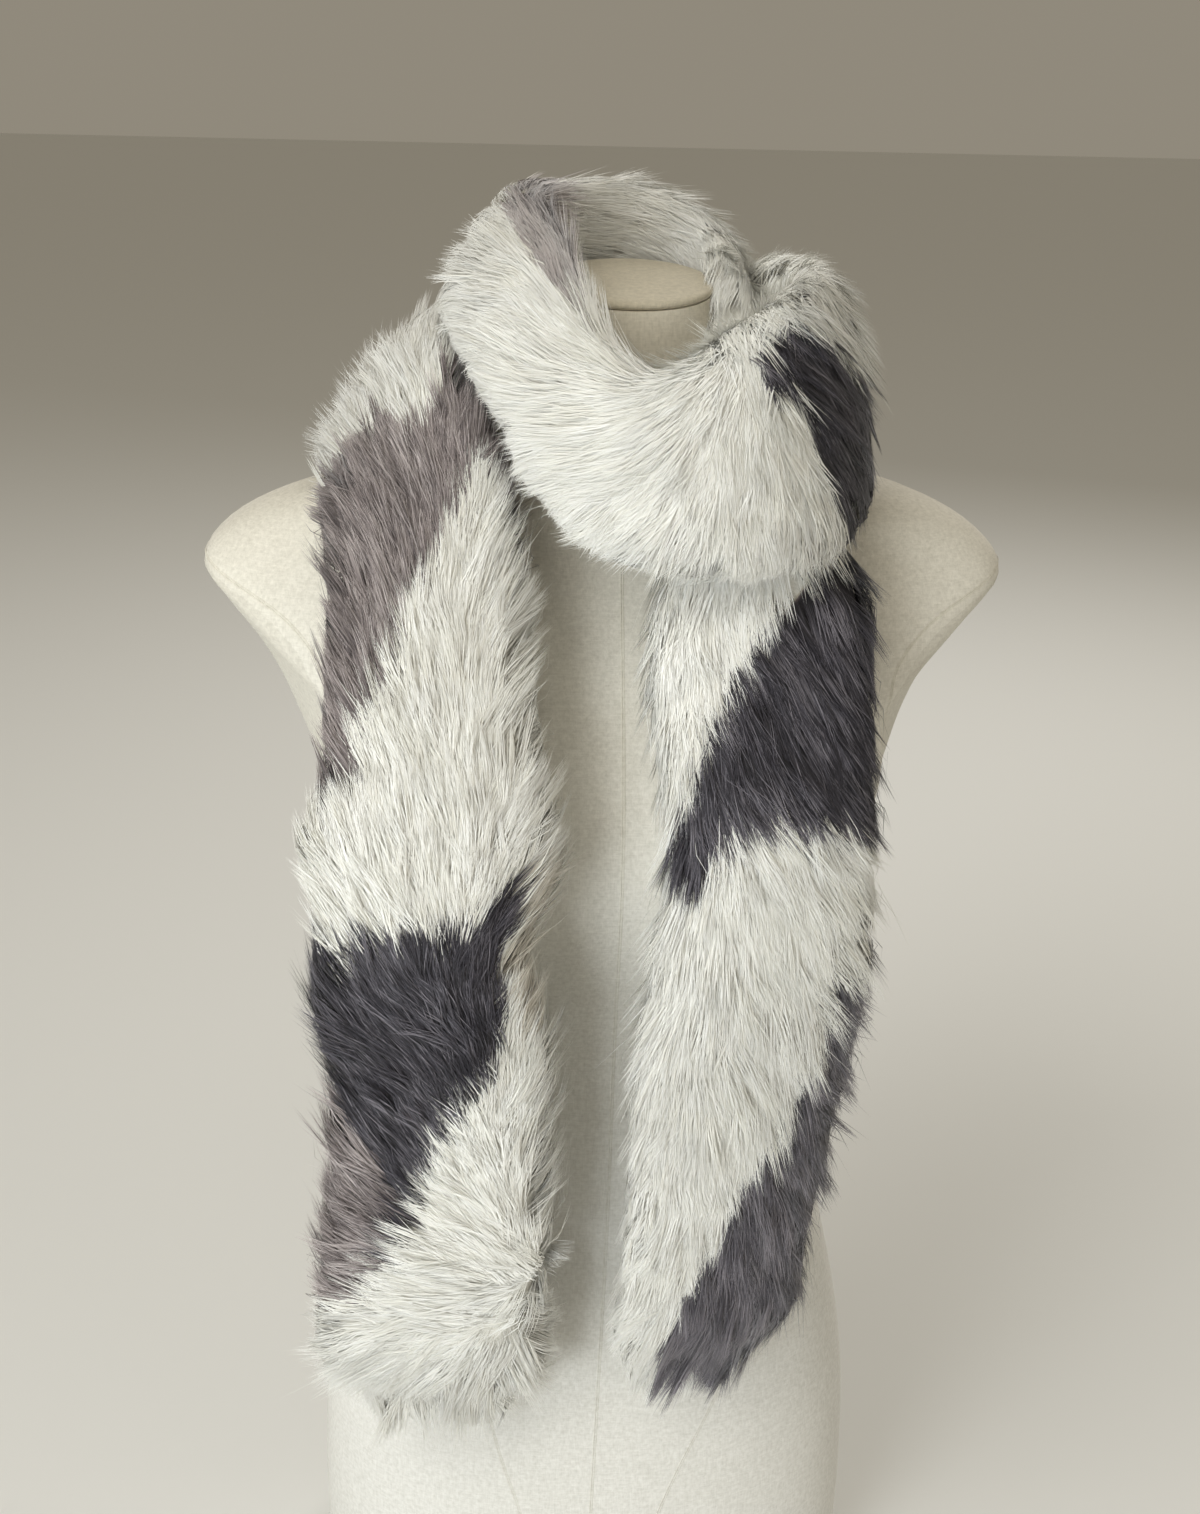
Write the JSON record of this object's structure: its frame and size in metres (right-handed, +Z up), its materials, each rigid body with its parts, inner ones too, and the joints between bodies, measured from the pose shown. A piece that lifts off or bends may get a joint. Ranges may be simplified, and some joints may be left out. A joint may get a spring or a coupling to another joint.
{
  "type": "fluffy scarf on a dress form",
  "caption": "Long-pile fur scarf in white with dark patches, wound once round the neck of an armless canvas dress form, with both tails hanging in front.",
  "frame": {"origin": "middle of the dress form's flat base, on the surface it stands on", "axes": "+Z up along the form's height, the front of the chest faces -Y, +X is to the right when looking at the front"},
  "size_m": [0.4282, 0.3256, 0.8495],
  "materials": {
    "canvas": "cream woven canvas cover, matte",
    "white_fur": "long silky pile, white",
    "grey_fur": "long silky pile, charcoal grey"
  },
  "bodies": {
    "root": {"form_torso": "canvas", "form_neck_cap": "canvas", "form_arm_plate_left": "canvas", "form_arm_plate_right": "canvas", "scarf_left_tail": "white_fur", "scarf_left_shoulder": "white_fur", "scarf_back_outer": "white_fur", "scarf_right_turn": "grey_fur", "scarf_front_wrap": "white_fur", "scarf_back_inner": "white_fur", "scarf_right_inner": "white_fur", "scarf_right_tail": "white_fur"}
  },
  "joints": []
}
